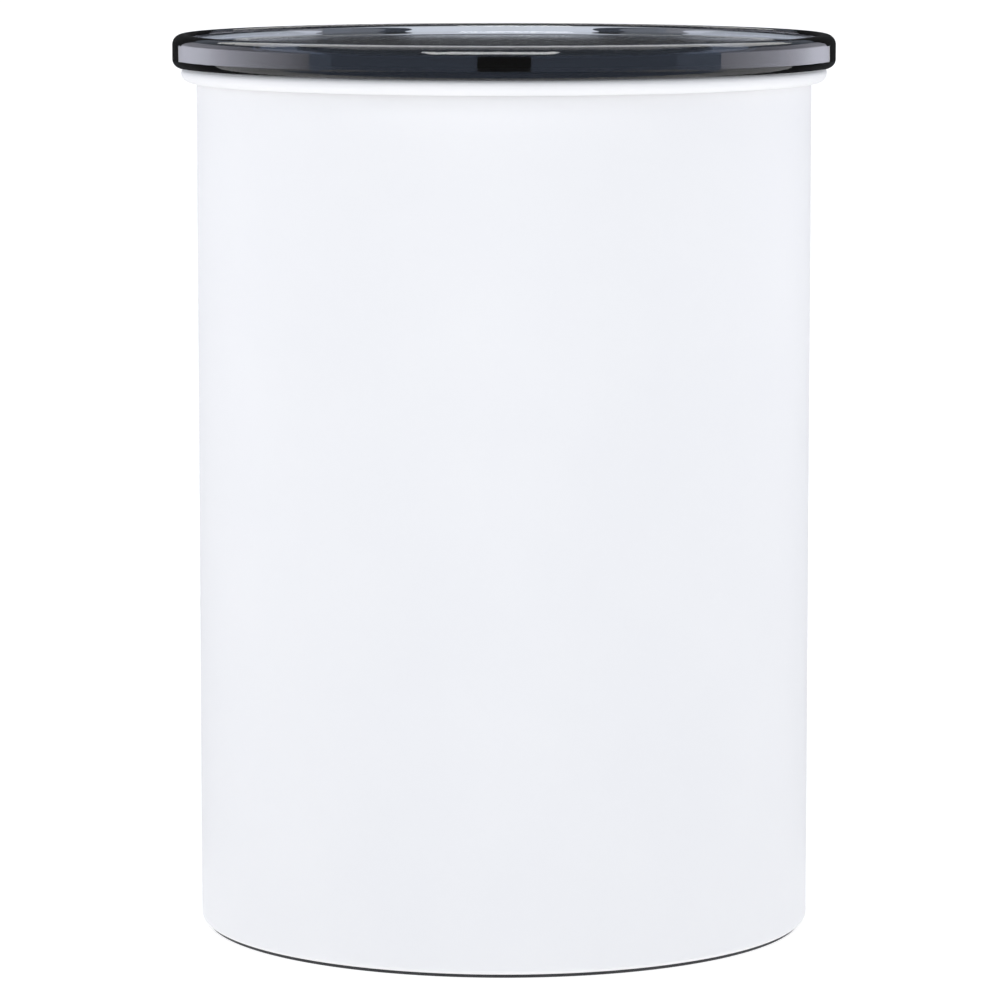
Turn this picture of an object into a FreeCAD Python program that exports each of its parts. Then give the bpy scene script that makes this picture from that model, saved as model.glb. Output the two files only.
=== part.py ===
import FreeCAD, Part
import math
import os

import Sketcher

# Coffee canister: a steel can, a lift-off outer lid, and an inner lid that slides down on the coffee.
# The inner lid lets air out through a valve that its folding handle shuts with a cam.
# Millimetres, +Z up, origin at the middle of the face that the canister stands on.

Vector = FreeCAD.Vector

# Driving dimensions, in millimetres.
SIZES = {
    # Can
    "can_radius": "61.0",
    "can_wall": "0.7",
    "can_height": "171.65",
    "base_corner": "1.1",
    "rim_overhang": "3.0",
    "rim_end_gap": "1.2",
    "rim_round": "1.3",
    # Pad under the base
    "pad_thickness": "0.7",
    "pad_inset": "0.1",
    "pad_edge_round": "0.25",
    "pad_groove_width": "1.6",
    "pad_groove_depth": "0.3",
    # Outer lid
    "lid_overhang": "1.75",
    "lid_height": "6.2",
    "lid_seat_gap": "0.15",
    "lid_rim_width": "3.4",
    "lid_recess": "2.4",
    "lid_panel": "2.0",
    "lid_outer_round": "2.0",
    "lid_inner_round": "0.8",
    "lid_lip_inset": "0.3",
    "lid_lip_width": "0.3",
    "lid_lip_drop": "0.4",
    "plug_clearance": "0.6",
    "plug_wall": "2.4",
    "plug_depth": "5.6",
    "plug_round": "0.6",
    # Soft ring on the lid's plug wall
    "ring_height": "2.6",
    "ring_depth": "1.0",
    "ring_lift": "1.4",
    "ring_bulge": "0.7",
    "ring_wall_gap": "0.25",
    "soft_fit_gap": "0.05",
    # Inner lid: upper dish
    "dish_floor": "2.4",
    "dish_wall": "2.0",
    "dish_depth": "13.0",
    "dish_fillet": "2.5",
    "flange_thickness": "2.0",
    "flange_gap": "1.8",
    "flange_round": "0.7",
    "gasket_room": "5.3",
    "hub_bore": "10.5",
    "hub_wall": "2.0",
    "port_radius": "4.0",
    "seat_width": "1.5",
    "seat_height": "0.8",
    "duct_radius": "10.0",
    "dish_cavity": "5.0",
    "rib_thickness": "1.6",
    "boss_inset": "13.0",
    "boss_wall": "2.3",
    "ear_spacing": "60.0",
    "ear_thickness": "4.5",
    "ear_width": "12.0",
    "ear_foot": "20.0",
    # Inner lid: lower plate, screen and screws
    "plate_thickness": "2.0",
    "plate_round": "0.7",
    "inlet_radius": "2.0",
    "inlet_margin": "1.6",
    "screen_seat_width": "2.0",
    "screen_thickness": "0.4",
    "screen_gap": "0.05",
    "screen_hole_radius": "0.5",
    "screen_hole_pitch": "2.0",
    "screw_radius": "1.25",
    "screw_length": "7.2",
    "screw_head_radius": "2.75",
    "screw_head_height": "1.5",
    "screw_socket_radius": "1.2",
    "screw_socket_depth": "0.9",
    "screw_gap": "0.05",
    "screw_end_room": "0.6",
    # Gasket
    "gasket_body": "2.3",
    "gasket_gap": "0.1",
    "lip_gap": "0.25",
    "lip_root": "1.9",
    "lip_tip": "0.9",
    "lip_sweep": "1.6",
    "lip_inset": "2.6",
    # Valve
    "seat_gap": "0.05",
    "seal_spring_gap": "0.65",
    "seal_thickness": "1.6",
    "spigot_radius": "1.6",
    "barb_radius": "2.4",
    "barb_height": "1.4",
    "neck_radius": "4.8",
    "neck_height": "2.05",
    "stem_flange_gap": "0.55",
    "stem_flange": "1.2",
    "stem_radius": "3.0",
    "stem_stand": "0.4",
    "stem_chamfer": "0.3",
    "guide_gap": "0.08",
    "valve_lift": "2.5",
    "lift_stop_gap": "0.3",
    "cap_thickness": "2.0",
    "cap_spigot_wall": "1.1",
    "cap_spigot_depth": "1.5",
    "cap_spigot_gap": "0.05",
    "cap_round": "0.6",
    "vent_radius": "1.1",
    "vent_margin": "1.05",
    "spring_wire": "0.8",
    "spring_edge_margin": "0.55",
    "spring_end_gap": "0.05",
    # Handle
    "cam_margin": "0.5",
    "cam_gap": "0.1",
    "cam_width": "10.0",
    "handle_reach": "30.0",
    "handle_bar": "6.5",
    "handle_thickness": "7.0",
    "handle_corner": "17.0",
    "handle_round": "2.2",
    "handle_end_gap": "0.4",
    "shaft_margin": "0.5",
    "pin_radius": "1.5",
    "pin_engagement": "7.0",
    "pin_fit_gap": "0.01",
    "pin_run_gap": "0.05",
    "upright_room": "3.6",
    # Overrun of a cut past the face that it opens
    "cut_overrun": "1.0",
}

RIB_COUNT = 8
SCREW_ANGLES = (45, 135, 225, 315)
INLET_ANGLES = (0, 60, 120, 180, 240, 300)
VENT_ANGLES = (30, 90, 150, 210, 270, 330)
SCREEN_RINGS = 4
SPRING_TURNS = 2.5
CAM_ARCS = 6
CAM_TURN = 180
PAD_GROOVE_SHARES = (0.34, 0.62, 0.9)
POINTS_PER_TURN = 48

# How a sketch numbers its axes, and the points of a line, an arc or a circle.
ACROSS_INDEX = -1
UP_INDEX = -2
START_INDEX = 1
END_INDEX = 2
CENTRE_INDEX = 3

TOLERANCE = 1e-6

doc = FreeCAD.newDocument("coffee_canister")
size = doc.addObject("Spreadsheet::Sheet", "size")
for row, (alias, text) in enumerate(SIZES.items(), start=1):
    size.set(f"A{row}", alias)
    size.set(f"B{row}", text)
    size.setAlias(f"B{row}", alias)
doc.recompute()

# Sizes that follow from the driving ones, as expressions over the sheet.
can_bore = "(size.can_radius - size.can_wall)"
can_floor = "(size.pad_thickness + size.can_wall)"
rim_radius = "(size.can_radius + size.rim_overhang)"
rim_under_radius = "(size.rim_overhang - size.rim_end_gap)"
roll_height = "(size.can_height - size.rim_round)"
roll_inner = f"({can_bore} + size.rim_round)"
roll_outer = f"({rim_radius} - size.rim_round)"
roll_end = f"({rim_radius} - {rim_under_radius})"
pad_radius = "(size.can_radius - size.base_corner - size.pad_inset)"

lid_radius = f"({rim_radius} + size.lid_overhang)"
lid_seat = "(size.can_height + size.lid_seat_gap)"
lid_top = f"({lid_seat} + size.lid_height)"
lid_panel_top = f"({lid_top} - size.lid_recess)"
lid_panel_under = f"({lid_panel_top} - size.lid_panel)"
lid_lip = f"({lid_seat} - size.lid_lip_drop)"
lid_recess_radius = f"({lid_radius} - size.lid_rim_width)"
lid_lip_inner = f"({rim_radius} - size.lid_lip_inset)"
lid_foot_radius = f"({lid_lip_inner} + size.lid_lip_width)"
lid_under_round = f"({lid_radius} - {lid_foot_radius})"
plug_radius = f"({can_bore} - size.plug_clearance)"
plug_end = f"({lid_seat} - size.plug_depth)"
ring_low = f"({plug_end} + size.ring_lift)"
ring_high = f"({ring_low} + size.ring_height)"
ring_seat_radius = f"({plug_radius} - size.ring_depth)"

# Heights on the inner lid are measured from the underside of its lower plate.
dish_under = "size.plate_thickness"
floor_under = f"({dish_under} + size.dish_cavity)"
floor_top = f"({floor_under} + size.dish_floor)"
flange_top = f"({floor_top} + size.dish_depth)"
flange_under = f"({flange_top} - size.flange_thickness)"
flange_radius = f"({can_bore} - size.flange_gap)"
dish_outer = f"({can_bore} - size.gasket_room)"
dish_inner = f"({dish_outer} - size.dish_wall)"
hub_outer = "(size.hub_bore + size.hub_wall)"
duct_outer = "(size.duct_radius + size.hub_wall)"
boss_circle = f"({dish_inner} - size.boss_inset)"
inlet_circle = "(size.duct_radius - size.inlet_margin - size.inlet_radius)"
screen_radius = "(size.duct_radius + size.screen_seat_width)"
cap_spigot_outer = "(size.hub_bore - size.cap_spigot_gap)"
cap_spigot_inner = f"({cap_spigot_outer} - size.cap_spigot_wall)"
vent_circle = f"({cap_spigot_inner} - size.vent_margin - size.vent_radius)"
stem_flange_radius = f"({cap_spigot_inner} - size.stem_flange_gap)"
spring_outer = f"({stem_flange_radius} - size.spring_edge_margin)"
spring_radius = f"({spring_outer} - size.spring_wire / 2)"
seal_radius = f"({spring_outer} - size.spring_wire - size.seal_spring_gap)"
seat_outer = "(size.port_radius + size.seat_width)"
seat_top = f"({floor_top} + size.seat_height)"
seal_low = f"({seat_top} + size.seat_gap)"
seal_high = f"({seal_low} + size.seal_thickness)"
stem_flange_low = f"({seal_high} + size.neck_height)"
stem_flange_high = f"({stem_flange_low} + size.stem_flange)"
hub_top = f"({stem_flange_high} + size.valve_lift + size.lift_stop_gap)"
cap_top = f"({hub_top} + size.cap_thickness)"
stem_top = f"({cap_top} + size.stem_stand)"
shaft_radius = "(size.handle_thickness / 2 + size.shaft_margin)"
cam_radius = f"({shaft_radius} + size.cam_margin + size.valve_lift)"
pivot_height = f"({stem_top} + size.cam_gap + {cam_radius})"
handle_span = "(size.ear_spacing / 2 - size.handle_end_gap)"
boss_hole_radius = "(size.screw_radius + size.screw_gap)"
screen_seat_radius = f"({screen_radius} + size.screen_gap)"
screen_seat = f"({dish_under} - size.screen_thickness - size.screen_gap)"

# The inner lid rests as high as its handle can still swing upright under the outer lid.
inner_lid_height = f"({lid_panel_under} - size.upright_room - size.handle_reach - {pivot_height})"


def number(expression):
    return float(size.evalExpression(expression))


def origin_feature(body, role):
    return next(item for item in body.Origin.OriginFeatures if item.Role == role)


def new_body(label, height="0"):
    """A body whose own zero is at the given height above the standing face."""
    body = doc.addObject("PartDesign::Body", label)
    body.Label = label
    body.setExpression("Placement.Base.z", height)
    return body


def new_sketch(body, name, role, offset="0"):
    """A sketch on one of the body's own planes, moved along the plane's normal."""
    sketch = body.newObject("Sketcher::SketchObject", name)
    sketch.AttachmentSupport = [(origin_feature(body, role), "")]
    sketch.MapMode = "FlatFace"
    sketch.setExpression("AttachmentOffset.Base.z", offset)
    return sketch


def bind(sketch, kind, *references, expression):
    """A dimension between two sketch points whose value follows the sheet."""
    index = sketch.addConstraint(Sketcher.Constraint(kind, *references, number(expression)))
    sketch.setExpression(f"Constraints[{index}]", expression)


def pin_coordinate(sketch, kind, axis, geometry, corner, expression):
    """Ties one coordinate of a sketch point to an expression, of either sign."""
    origin = (ACROSS_INDEX, START_INDEX)
    value = number(expression)
    if abs(value) < TOLERANCE:
        sketch.addConstraint(Sketcher.Constraint("PointOnObject", geometry, corner, axis))
    elif value > 0:
        bind(sketch, kind, *origin, geometry, corner, expression=expression)
    else:
        bind(sketch, kind, geometry, corner, *origin, expression=f"-({expression})")


def pin_point(sketch, geometry, corner, across, up):
    pin_coordinate(sketch, "DistanceX", UP_INDEX, geometry, corner, across)
    pin_coordinate(sketch, "DistanceY", ACROSS_INDEX, geometry, corner, up)


def arc_centre(start, end, radius, turn):
    """Centre of the short arc from start to end, to the left of the way for turn +1 and right for -1."""
    chord = end - start
    across = Vector(-chord.y, chord.x, 0).normalize()
    rise = math.sqrt(max(radius**2 - chord.Length**2 / 4, 0))
    return (start + end) / 2 + across * rise * turn


def draw_outline(sketch, points):
    """A closed outline. A point is (across, up), reached by a line, or (across, up, radius, turn),
    reached by an arc that bends left for turn +1 and right for turn -1."""
    places = [Vector(number(point[0]), number(point[1]), 0) for point in points]
    ends = []
    for index, point in enumerate(points):
        start, end = places[index - 1], places[index]
        if len(point) == 2:
            geometry = sketch.addGeometry(Part.LineSegment(start, end))
            ends.append((geometry, START_INDEX, END_INDEX))
            continue
        radius, turn = number(point[2]), point[3]
        centre = arc_centre(start, end, radius, turn)
        first, last = (start, end) if turn > 0 else (end, start)
        angles = [math.atan2(place.y - centre.y, place.x - centre.x) for place in (first, last)]
        circle = Part.Circle(centre, Vector(0, 0, 1), radius)
        geometry = sketch.addGeometry(Part.ArcOfCircle(circle, *angles))
        corners = (START_INDEX, END_INDEX) if turn > 0 else (END_INDEX, START_INDEX)
        ends.append((geometry, *corners))
    for index, point in enumerate(points):
        geometry, _, corner = ends[index]
        following, next_corner, _ = ends[(index + 1) % len(points)]
        sketch.addConstraint(Sketcher.Constraint("Coincident", geometry, corner, following, next_corner))
        pin_point(sketch, geometry, corner, point[0], point[1])
    for (geometry, _, _), point in zip(ends, points):
        if len(point) == 4:
            bind(sketch, "Radius", geometry, expression=point[2])


def draw_circle(sketch, across, up, radius):
    middle = Vector(number(across), number(up), 0)
    geometry = sketch.addGeometry(Part.Circle(middle, Vector(0, 0, 1), number(radius)))
    pin_point(sketch, geometry, CENTRE_INDEX, across, up)
    bind(sketch, "Radius", geometry, expression=radius)


def draw_circles_round(sketch, circle, radius, angles):
    for angle in angles:
        draw_circle(sketch, f"{circle} * cos({angle})", f"{circle} * sin({angle})", radius)


def turn_solid(body, name, points):
    """A full turn about Z of an outline given as (radius, height) points."""
    sketch = new_sketch(body, f"{name}_outline", "XZ_Plane")
    draw_outline(sketch, points)
    turned = body.newObject("PartDesign::Revolution", name)
    turned.Profile = sketch
    turned.ReferenceAxis = (sketch, ["V_Axis"])
    turned.Angle = 360
    return turned


def pad(body, sketch, name, length, side_type="One side"):
    padded = body.newObject("PartDesign::Pad", name)
    padded.Profile = sketch
    padded.SideType = side_type
    padded.setExpression("Length", length)
    return padded


def pocket(body, sketch, name, length, reverse=False):
    """A blind cut from the sketch, which has to take material away."""
    doc.recompute()
    before = body.Shape.Volume
    cut = body.newObject("PartDesign::Pocket", name)
    cut.Profile = sketch
    cut.Reversed = reverse
    cut.setExpression("Length", length)
    doc.recompute()
    if body.Shape.Volume >= before:
        raise RuntimeError(f"{name} cuts nothing")
    return cut


def repeat_round(body, feature, name, count):
    pattern = body.newObject("PartDesign::PolarPattern", name)
    pattern.Originals = [feature]
    pattern.Axis = (origin_feature(body, "Z_Axis"), [""])
    pattern.Angle = 360
    pattern.Occurrences = count
    body.Tip = pattern
    return pattern


def can_shell():
    """Drawn can, one wall thick, whose rim rolls outward and back under itself."""
    body = new_body("can_shell")
    low, wall = "size.pad_thickness", "size.can_wall"
    inner_corner = f"(size.base_corner - {wall})"
    rolled_in = f"(size.rim_round - {wall})"
    rolled_top = f"({roll_height} + {rolled_in})"
    under_in = f"({rim_under_radius} - {wall})"
    roll_foot = f"({roll_height} - {rim_under_radius})"
    turn_solid(body, "shell", [
        ("0", low),
        ("size.can_radius - size.base_corner", low),
        ("size.can_radius", f"{low} + size.base_corner", "size.base_corner", 1),
        ("size.can_radius", roll_height),
        (roll_inner, rolled_top, rolled_in, -1),
        (roll_outer, rolled_top),
        (f"{rim_radius} - {wall}", roll_height, rolled_in, -1),
        (roll_end, f"{roll_foot} + {wall}", under_in, -1),
        (roll_end, roll_foot),
        (rim_radius, roll_height, rim_under_radius, 1),
        (roll_outer, "size.can_height", "size.rim_round", 1),
        (roll_inner, "size.can_height"),
        (can_bore, roll_height, "size.rim_round", 1),
        (can_bore, f"{can_floor} + {inner_corner}"),
        (f"{can_bore} - {inner_corner}", can_floor, inner_corner, -1),
        ("0", can_floor),
    ])
    return body


def base_pad():
    """Soft pad under the base, with ring grooves in its sole."""
    body = new_body("base_pad")
    edge = "size.pad_edge_round"
    grooves = []
    for share in PAD_GROOVE_SHARES:
        inner = f"{share} * {pad_radius}"
        outer = f"{inner} + size.pad_groove_width"
        grooves += [
            (inner, "0"),
            (inner, "size.pad_groove_depth"),
            (outer, "size.pad_groove_depth"),
            (outer, "0"),
        ]
    turn_solid(body, "pad", [("0", "0")] + grooves + [
        (f"{pad_radius} - {edge}", "0"),
        (pad_radius, edge, edge, 1),
        (pad_radius, "size.pad_thickness"),
        ("0", "size.pad_thickness"),
    ])
    return body


def outer_lid():
    """Cover with a raised edge round a sunk panel, and a plug wall that stands in the can's mouth."""
    body = new_body("outer_lid")
    inner, outer = "size.lid_inner_round", "size.lid_outer_round"
    plug_inner = f"({plug_radius} - size.plug_wall)"
    foot = "size.plug_round"
    turn_solid(body, "cover", [
        ("0", lid_panel_under),
        (plug_inner, lid_panel_under),
        (plug_inner, f"{plug_end} + {foot}"),
        (f"{plug_inner} + {foot}", plug_end, foot, 1),
        (f"{plug_radius} - {foot}", plug_end),
        (plug_radius, f"{plug_end} + {foot}", foot, 1),
        (plug_radius, ring_low),
        (ring_seat_radius, ring_low),
        (ring_seat_radius, ring_high),
        (plug_radius, ring_high),
        (plug_radius, lid_seat),
        (lid_lip_inner, lid_seat),
        (lid_lip_inner, lid_lip),
        (lid_foot_radius, lid_lip),
        (lid_radius, f"{lid_lip} + {lid_under_round}", lid_under_round, 1),
        (lid_radius, f"{lid_top} - {outer}"),
        (f"{lid_radius} - {outer}", lid_top, outer, 1),
        (f"{lid_recess_radius} + {inner}", lid_top),
        (lid_recess_radius, f"{lid_top} - {inner}", inner, 1),
        (lid_recess_radius, f"{lid_panel_top} + {inner}"),
        (f"{lid_recess_radius} - {inner}", lid_panel_top, inner, -1),
        ("0", lid_panel_top),
    ])
    return body


def lid_seal_ring():
    """Soft ring in the groove of the plug wall, with a bulged face towards the can."""
    body = new_body("lid_seal_ring")
    inner = f"{ring_seat_radius} + size.soft_fit_gap"
    outer = f"({can_bore} - size.ring_wall_gap)"
    low, high = f"({ring_low} + size.soft_fit_gap)", f"({ring_high} - size.soft_fit_gap)"
    half, bulge = f"(({high} - {low}) / 2)", "size.ring_bulge"
    bend = f"(({half}^2 + {bulge}^2) / (2 * {bulge}))"
    turn_solid(body, "ring", [
        (inner, low),
        (f"{outer} - {bulge}", low),
        (outer, f"({low} + {high}) / 2", bend, 1),
        (f"{outer} - {bulge}", high, bend, 1),
        (inner, high),
    ])
    return body


def plunger_dish():
    """Upper moulding of the inner lid: a smooth dish with the valve hub and the handle's ears on top,
    and an air duct, ribs and screw bosses under its floor."""
    body = new_body("plunger_dish", inner_lid_height)
    fillet, edge = "size.dish_fillet", "size.flange_round"
    turn_solid(body, "dish", [
        ("size.port_radius", floor_under),
        ("size.duct_radius", floor_under),
        ("size.duct_radius", dish_under),
        (duct_outer, dish_under),
        (duct_outer, floor_under),
        (dish_inner, floor_under),
        (dish_inner, dish_under),
        (dish_outer, dish_under),
        (dish_outer, flange_under),
        (flange_radius, flange_under),
        (flange_radius, f"{flange_top} - {edge}"),
        (f"{flange_radius} - {edge}", flange_top, edge, 1),
        (f"{dish_inner} + {edge}", flange_top),
        (dish_inner, f"{flange_top} - {edge}", edge, 1),
        (dish_inner, f"{floor_top} + {fillet}"),
        (f"{dish_inner} - {fillet}", floor_top, fillet, -1),
        (hub_outer, floor_top),
        (hub_outer, hub_top),
        ("size.hub_bore", hub_top),
        ("size.hub_bore", floor_top),
        (seat_outer, floor_top),
        (seat_outer, seat_top),
        ("size.port_radius", seat_top),
    ])

    # Ribs and bosses start inside the walls and the floor that they join.
    rib_start = f"{duct_outer} - size.hub_wall / 2"
    rib_end = f"{dish_inner} + size.dish_wall / 2"
    mid_floor = f"({floor_under} + size.dish_floor / 2)"
    rib_sketch = new_sketch(body, "rib_outline", "XZ_Plane")
    draw_outline(rib_sketch, [
        (rib_start, dish_under),
        (rib_end, dish_under),
        (rib_end, mid_floor),
        (rib_start, mid_floor),
    ])
    rib = pad(body, rib_sketch, "rib", "size.rib_thickness", "Symmetric")
    repeat_round(body, rib, "ribs", RIB_COUNT)

    boss_sketch = new_sketch(body, "boss_outline", "XY_Plane", dish_under)
    draw_circles_round(boss_sketch, boss_circle, f"{boss_hole_radius} + size.boss_wall", SCREW_ANGLES)
    pad(body, boss_sketch, "bosses", "size.dish_cavity + size.dish_floor / 2")

    ear_sketch = new_sketch(body, "ear_outline", "YZ_Plane", "size.ear_spacing / 2")
    half, foot = "(size.ear_width / 2)", "(size.ear_foot / 2)"
    draw_outline(ear_sketch, [
        (f"-{foot}", mid_floor),
        (foot, mid_floor),
        (half, pivot_height),
        ("0", f"{pivot_height} + {half}", half, 1),
        (f"-{half}", pivot_height, half, 1),
    ])
    ear = pad(body, ear_sketch, "ear", "size.ear_thickness")
    ears = body.newObject("PartDesign::Mirrored", "ears")
    ears.Originals = [ear]
    ears.MirrorPlane = (origin_feature(body, "YZ_Plane"), [""])
    body.Tip = ears

    bore_reach = "(size.ear_spacing / 2 + size.ear_thickness + size.cut_overrun)"
    bore_sketch = new_sketch(body, "pin_bore_outline", "YZ_Plane", bore_reach)
    draw_circle(bore_sketch, "0", pivot_height, "size.pin_radius + size.pin_fit_gap")
    pocket(body, bore_sketch, "pin_bores", f"2 * {bore_reach}")

    hole_depth = "(size.screw_length - size.plate_thickness + size.screw_end_room)"
    hole_sketch = new_sketch(body, "screw_hole_outline", "XY_Plane", dish_under)
    draw_circles_round(hole_sketch, boss_circle, boss_hole_radius, SCREW_ANGLES)
    pocket(body, hole_sketch, "screw_holes", hole_depth, reverse=True)
    return body


def base_plate():
    """Lower plate of the inner lid, with the air inlet, the screen's seat and countersunk screw holes."""
    body = new_body("base_plate", inner_lid_height)
    edge = "size.plate_round"
    turn_solid(body, "plate", [
        ("0", "0"),
        (f"{flange_radius} - {edge}", "0"),
        (flange_radius, edge, edge, 1),
        (flange_radius, dish_under),
        (screen_seat_radius, dish_under),
        (screen_seat_radius, screen_seat),
        ("0", screen_seat),
    ])
    inlet_sketch = new_sketch(body, "inlet_outline", "XY_Plane")
    draw_circle(inlet_sketch, "0", "0", "size.inlet_radius")
    draw_circles_round(inlet_sketch, inlet_circle, "size.inlet_radius", INLET_ANGLES)
    pocket(body, inlet_sketch, "inlets", "size.plate_thickness", reverse=True)

    hole_sketch = new_sketch(body, "plate_hole_outline", "XY_Plane")
    draw_circles_round(hole_sketch, boss_circle, boss_hole_radius, SCREW_ANGLES)
    doc.recompute()
    before = body.Shape.Volume
    holes = body.newObject("PartDesign::Hole", "countersinks")
    holes.Profile = hole_sketch
    holes.Reversed = True
    holes.DepthType = "ThroughAll"
    holes.Threaded = False
    holes.ThreadType = "None"
    holes.setExpression("Diameter", f"2 * {boss_hole_radius}")
    holes.HoleCutType = "Countersink"
    holes.HoleCutCustomValues = True
    holes.setExpression("HoleCutDiameter", "2 * (size.screw_head_radius + size.screw_gap)")
    holes.setExpression(
        "HoleCutCountersinkAngle",
        "2 * atan((size.screw_head_radius - size.screw_radius) / size.screw_head_height)",
    )
    doc.recompute()
    if body.Shape.Volume >= before:
        raise RuntimeError("countersinks cut nothing")
    return body


def plate_screws():
    """Countersunk screws with a hexagon socket, as one group."""
    screws = []
    for angle in SCREW_ANGLES:
        head = doc.addObject("Part::Cone", f"screw_head_{angle}")
        head.setExpression("Radius1", "size.screw_head_radius")
        head.setExpression("Radius2", "size.screw_radius")
        head.setExpression("Height", "size.screw_head_height")
        shank = doc.addObject("Part::Cylinder", f"screw_shank_{angle}")
        shank.setExpression("Radius", "size.screw_radius")
        shank.setExpression("Height", "size.screw_length")
        socket = doc.addObject("Part::Prism", f"screw_socket_{angle}")
        socket.Polygon = 6
        socket.setExpression("Circumradius", "size.screw_socket_radius")
        socket.setExpression("Height", "size.screw_socket_depth")
        blank = doc.addObject("Part::Fuse", f"screw_blank_{angle}")
        blank.Base, blank.Tool = head, shank
        screw = doc.addObject("Part::Cut", f"screw_{angle}")
        screw.Base, screw.Tool = blank, socket
        screw.setExpression("Placement.Base.x", f"{boss_circle} * cos({angle})")
        screw.setExpression("Placement.Base.y", f"{boss_circle} * sin({angle})")
        screws.append(screw)
    group = doc.addObject("Part::Compound", "plate_screws")
    group.Label = "plate_screws"
    group.Links = screws
    group.setExpression("Placement.Base.z", inner_lid_height)
    return group


def inlet_screen():
    """Perforated disc between the plates, with rings of holes a pitch apart."""
    body = new_body("inlet_screen", inner_lid_height)
    sketch = new_sketch(body, "screen_outline", "XY_Plane", screen_seat)
    draw_circle(sketch, "0", "0", screen_radius)
    draw_circle(sketch, "0", "0", "size.screen_hole_radius")
    for ring in range(1, SCREEN_RINGS + 1):
        angles = [360 * index / (6 * ring) for index in range(6 * ring)]
        draw_circles_round(sketch, f"{ring} * size.screen_hole_pitch", "size.screen_hole_radius", angles)
    pad(body, sketch, "screen", "size.screen_thickness")
    return body


def wiper_gasket():
    """Soft ring clamped between flange and lower plate, with one lip turned up and one turned down."""
    body = new_body("wiper_gasket", inner_lid_height)
    inner = f"({dish_outer} + size.gasket_gap)"
    outer = f"({inner} + size.gasket_body)"
    reach = f"({can_bore} - size.lip_gap)"
    low = f"({dish_under} + size.gasket_gap / 2)"
    high = f"({flange_under} - size.gasket_gap / 2)"
    lower_root = f"({low} + size.lip_inset)"
    upper_root = f"({high} - size.lip_inset)"
    lower_tip = f"({lower_root} - size.lip_sweep)"
    upper_tip = f"({upper_root} + size.lip_sweep)"
    tip_round = "(size.lip_tip / 2)"
    turn_solid(body, "gasket", [
        (inner, low),
        (outer, low),
        (outer, lower_root),
        (f"{reach} - {tip_round}", lower_tip),
        (reach, f"{lower_tip} + {tip_round}", tip_round, 1),
        (f"{reach} - {tip_round}", f"{lower_tip} + size.lip_tip", tip_round, 1),
        (outer, f"{lower_root} + size.lip_root"),
        (outer, f"{upper_root} - size.lip_root"),
        (f"{reach} - {tip_round}", f"{upper_tip} - size.lip_tip"),
        (reach, f"{upper_tip} - {tip_round}", tip_round, 1),
        (f"{reach} - {tip_round}", upper_tip, tip_round, 1),
        (outer, upper_root),
        (outer, high),
        (inner, high),
    ])
    return body


def valve_cap():
    """Cap on the hub that guides the stem and lets the air out through a ring of vents."""
    body = new_body("valve_cap", inner_lid_height)
    guide = "(size.stem_radius + size.guide_gap)"
    spigot_end = f"{hub_top} - size.cap_spigot_depth"
    edge = "size.cap_round"
    turn_solid(body, "cap", [
        (guide, hub_top),
        (cap_spigot_inner, hub_top),
        (cap_spigot_inner, spigot_end),
        (cap_spigot_outer, spigot_end),
        (cap_spigot_outer, hub_top),
        (hub_outer, hub_top),
        (hub_outer, f"{cap_top} - {edge}"),
        (f"{hub_outer} - {edge}", cap_top, edge, 1),
        (guide, cap_top),
    ])
    vent_sketch = new_sketch(body, "vent_outline", "XY_Plane", hub_top)
    draw_circles_round(vent_sketch, vent_circle, "size.vent_radius", VENT_ANGLES)
    pocket(body, vent_sketch, "vents", "size.cap_thickness", reverse=True)
    return body


def valve_stem():
    """Stem with a barbed foot for the seal, a flange for the spring and a flat top under the cam."""
    body = new_body("valve_stem", inner_lid_height)
    chamfer = "size.stem_chamfer"
    barb_low = f"({seal_low} - size.barb_height)"
    turn_solid(body, "stem", [
        ("0", barb_low),
        ("size.spigot_radius", barb_low),
        ("size.barb_radius", seal_low),
        ("size.spigot_radius", seal_low),
        ("size.spigot_radius", seal_high),
        ("size.neck_radius", seal_high),
        ("size.neck_radius", stem_flange_low),
        (stem_flange_radius, stem_flange_low),
        (stem_flange_radius, stem_flange_high),
        ("size.stem_radius", stem_flange_high),
        ("size.stem_radius", f"{stem_top} - {chamfer}"),
        (f"size.stem_radius - {chamfer}", stem_top),
        ("0", stem_top),
    ])
    return body


def valve_seal():
    """Soft disc held between the stem's neck and barb, which closes the port."""
    body = new_body("valve_seal", inner_lid_height)
    inner = "size.spigot_radius + size.soft_fit_gap"
    turn_solid(body, "seal", [
        (inner, seal_low),
        (seal_radius, seal_low),
        (seal_radius, seal_high),
        (inner, seal_high),
    ])
    return body


def arc_between(start, corner, end):
    """The arc that touches both legs of an equal-legged corner at their ends."""
    middle = (start + end) / 2
    half_chord = (end - start).Length / 2
    to_corner = corner - middle
    half_turn = math.atan2(to_corner.Length, half_chord)
    rise = half_chord * math.tan(half_turn / 2)
    return Part.Arc(start, middle + to_corner.normalize() * rise, end).toShape()


def helix_path(radius, low, high, turns):
    """A helix about Z as pairs of arcs, one pair to a quarter turn."""
    steps = round(turns * 4)
    climb = (high - low) / steps

    def place(step):
        angle = math.pi / 2 * step
        return Vector(radius * math.cos(angle), radius * math.sin(angle), low + climb * step)

    def heading(step):
        angle = math.pi / 2 * step
        quarter = math.pi / 2 * radius
        return Vector(-math.sin(angle) * quarter, math.cos(angle) * quarter, climb).normalize()

    edges = []
    for step in range(steps):
        start, end = place(step), place(step + 1)
        leave, arrive = heading(step), heading(step + 1)
        span = end - start
        square = 2 * (leave.dot(arrive) - 1)
        slope = -2 * span.dot(leave + arrive)
        leg = (-slope - math.sqrt(slope**2 - 4 * square * span.dot(span))) / (2 * square)
        first, second = start + leave * leg, end - arrive * leg
        join = (first + second) / 2
        edges += [arc_between(start, first, join), arc_between(join, second, end)]
    return Part.Wire(edges)


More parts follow.
